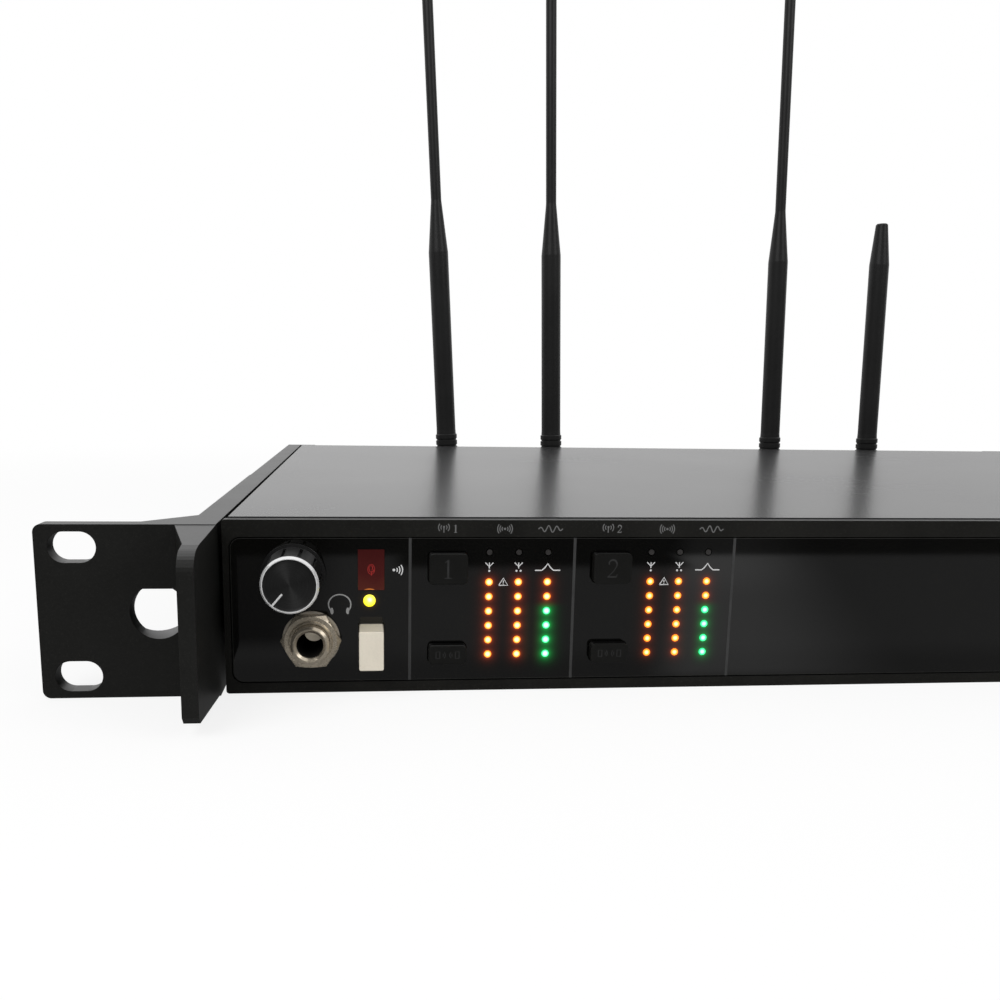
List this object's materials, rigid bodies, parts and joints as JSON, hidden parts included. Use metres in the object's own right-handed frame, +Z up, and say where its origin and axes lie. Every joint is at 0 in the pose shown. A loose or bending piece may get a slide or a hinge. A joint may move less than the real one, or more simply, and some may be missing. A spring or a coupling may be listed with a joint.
{
  "type": "wireless receiver unit",
  "caption": "Rack-mount wireless audio receiver with a glossy control panel, handle brackets and jointed rear antennas.",
  "frame": {"origin": "middle of the body's width, on the underside, in the rack mounting plane at the back of the ears", "axes": "+Z up, -Y to the front panel, +X to the right as seen from the front"},
  "size_m": [0.4826, 0.3335, 0.2859],
  "materials": {
    "black_steel": "fine satin black powder coat",
    "black_casting": "satin black paint with a fine grain",
    "frame_paint": "matte black paint with fine sparkle",
    "lens_black": "glossy black",
    "print_grey": "printed line",
    "screw_black": "blackened steel",
    "knob_black": "satin black",
    "trim_silver": "bright turned",
    "shaft_steel": "turned",
    "part_grey": "moulded housing",
    "nickel": "nickel plate",
    "ir_red": "dark red, see-through",
    "led_red": "red lamp",
    "lamp_yellow": "lit yellow",
    "ivory": "ivory",
    "key_black": "matte black",
    "lamp_orange": "lit orange",
    "lamp_green": "lit green",
    "lamp_grey": "unlit grey",
    "board_green": "circuit board",
    "display_dark": "unlit display",
    "tin_plate": "tin plate",
    "supply_mix": "board, transformer and capacitor",
    "zinc": "satin nickel",
    "inlet_black": "black",
    "antenna_black": "satin black polymer"
  },
  "bodies": {
    "body": {"chassis_base": "black_steel", "top_cover": "black_steel", "rear_panel": "black_steel", "front_frame": "frame_paint", "front_lens": "lens_black", "divider_lines": "print_grey", "rack_bracket_left": "black_casting", "rack_bracket_right": "black_casting", "side_rail_left": "black_casting", "side_rail_right": "black_casting", "bracket_screws": "screw_black", "rear_screws": "screw_black", "volume_pot": "part_grey", "headphone_jack": "nickel", "jack_washer": "nickel", "jack_nut": "nickel", "ir_window": "ir_red", "ir_led": "led_red", "power_lamp": "lamp_yellow", "power_switch": "part_grey", "key_switches": "part_grey", "meter_lamps_orange": "lamp_orange", "meter_lamps_green": "lamp_green", "status_lamps": "lamp_grey", "front_board": "board_green", "display_module": "display_dark", "menu_encoder": "part_grey", "main_board": "board_green", "receiver_can_1": "tin_plate", "receiver_can_2": "tin_plate", "power_supply": "supply_mix", "output_connectors": "zinc", "output_jack": "nickel", "power_inlet": "inlet_black", "antenna_sockets": "nickel"},
    "volume_knob": {"volume_knob": "knob_black", "volume_knob_ring": "trim_silver", "volume_shaft": "shaft_steel"},
    "menu_knob": {"menu_knob": "knob_black", "menu_knob_ring": "trim_silver", "menu_shaft": "shaft_steel"},
    "power_button": {"power_button": "ivory"},
    "channel_button_1": {"channel_button_1": "key_black"},
    "channel_button_2": {"channel_button_2": "key_black"},
    "sync_button_1": {"sync_button_1": "key_black"},
    "sync_button_2": {"sync_button_2": "key_black"},
    "menu_key_1": {"menu_key_1": "key_black"},
    "menu_key_2": {"menu_key_2": "key_black"},
    "antenna_elbow_1": {"antenna_elbow_1": "antenna_black"},
    "antenna_whip_1": {"antenna_whip_1": "antenna_black"},
    "antenna_elbow_2": {"antenna_elbow_2": "antenna_black"},
    "antenna_whip_2": {"antenna_whip_2": "antenna_black"},
    "antenna_elbow_3": {"antenna_elbow_3": "antenna_black"},
    "antenna_whip_3": {"antenna_whip_3": "antenna_black"},
    "antenna_elbow_4": {"antenna_elbow_4": "antenna_black"},
    "antenna_whip_4": {"antenna_whip_4": "antenna_black"}
  },
  "joints": [
    {"name": "volume_turn", "type": "hinge", "parent": "body", "child": "volume_knob", "pos_m": [-0.1809, -0.0086, 0.03005], "axis": [0, 1, 0], "range_deg": [0, 279]},
    {"name": "menu_turn", "type": "hinge", "parent": "body", "child": "menu_knob", "pos_m": [0.1747, -0.0086, 0.0219], "axis": [0, 1, 0], "continuous": true},
    {"name": "power_press", "type": "slide", "parent": "body", "child": "power_button", "axis": [0, 1, 0], "range_m": [0, 0.003], "stiffness_N_per_m": 700},
    {"name": "channel_button_1_press", "type": "slide", "parent": "body", "child": "channel_button_1", "axis": [0, 1, 0], "range_m": [0, 0.0008], "stiffness_N_per_m": 1800},
    {"name": "channel_button_2_press", "type": "slide", "parent": "body", "child": "channel_button_2", "axis": [0, 1, 0], "range_m": [0, 0.0008], "stiffness_N_per_m": 1800},
    {"name": "sync_button_1_press", "type": "slide", "parent": "body", "child": "sync_button_1", "axis": [0, 1, 0], "range_m": [0, 0.0008], "stiffness_N_per_m": 1800},
    {"name": "sync_button_2_press", "type": "slide", "parent": "body", "child": "sync_button_2", "axis": [0, 1, 0], "range_m": [0, 0.0008], "stiffness_N_per_m": 1800},
    {"name": "menu_key_1_press", "type": "slide", "parent": "body", "child": "menu_key_1", "axis": [0, 1, 0], "range_m": [0, 0.0008], "stiffness_N_per_m": 1800},
    {"name": "menu_key_2_press", "type": "slide", "parent": "body", "child": "menu_key_2", "axis": [0, 1, 0], "range_m": [0, 0.0008], "stiffness_N_per_m": 1800},
    {"name": "antenna_swivel_1", "type": "hinge", "parent": "body", "child": "antenna_elbow_1", "pos_m": [-0.119, 0.292, 0.022], "axis": [0, 1, 0], "range_deg": [-60, 11]},
    {"name": "antenna_fold_1", "type": "hinge", "parent": "antenna_elbow_1", "child": "antenna_whip_1", "pos_m": [-0.11951, 0.292, 0.03099], "axis": [0.9984, 0, 0.0558], "range_deg": [-90, 10]},
    {"name": "antenna_swivel_2", "type": "hinge", "parent": "body", "child": "antenna_elbow_2", "pos_m": [-0.06216, 0.292, 0.022], "axis": [0, 1, 0], "range_deg": [-11, 24]},
    {"name": "antenna_fold_2", "type": "hinge", "parent": "antenna_elbow_2", "child": "antenna_whip_2", "pos_m": [-0.06244, 0.292, 0.031], "axis": [0.9995, 0, 0.0314], "range_deg": [-90, 10]},
    {"name": "antenna_swivel_3", "type": "hinge", "parent": "body", "child": "antenna_elbow_3", "pos_m": [0.06216, 0.292, 0.022], "axis": [0, 1, 0], "range_deg": [-24, 14]},
    {"name": "antenna_fold_3", "type": "hinge", "parent": "antenna_elbow_3", "child": "antenna_whip_3", "pos_m": [0.06191, 0.292, 0.031], "axis": [0.9996, 0, 0.0279], "range_deg": [-90, 10]},
    {"name": "antenna_swivel_4", "type": "hinge", "parent": "body", "child": "antenna_elbow_4", "pos_m": [0.119, 0.292, 0.022], "axis": [0, 1, 0], "range_deg": [-17, 60]},
    {"name": "antenna_fold_4", "type": "hinge", "parent": "antenna_elbow_4", "child": "antenna_whip_4", "pos_m": [0.1188, 0.292, 0.031], "axis": [0.9997, 0, 0.0227], "range_deg": [-90, 10]}
  ]
}
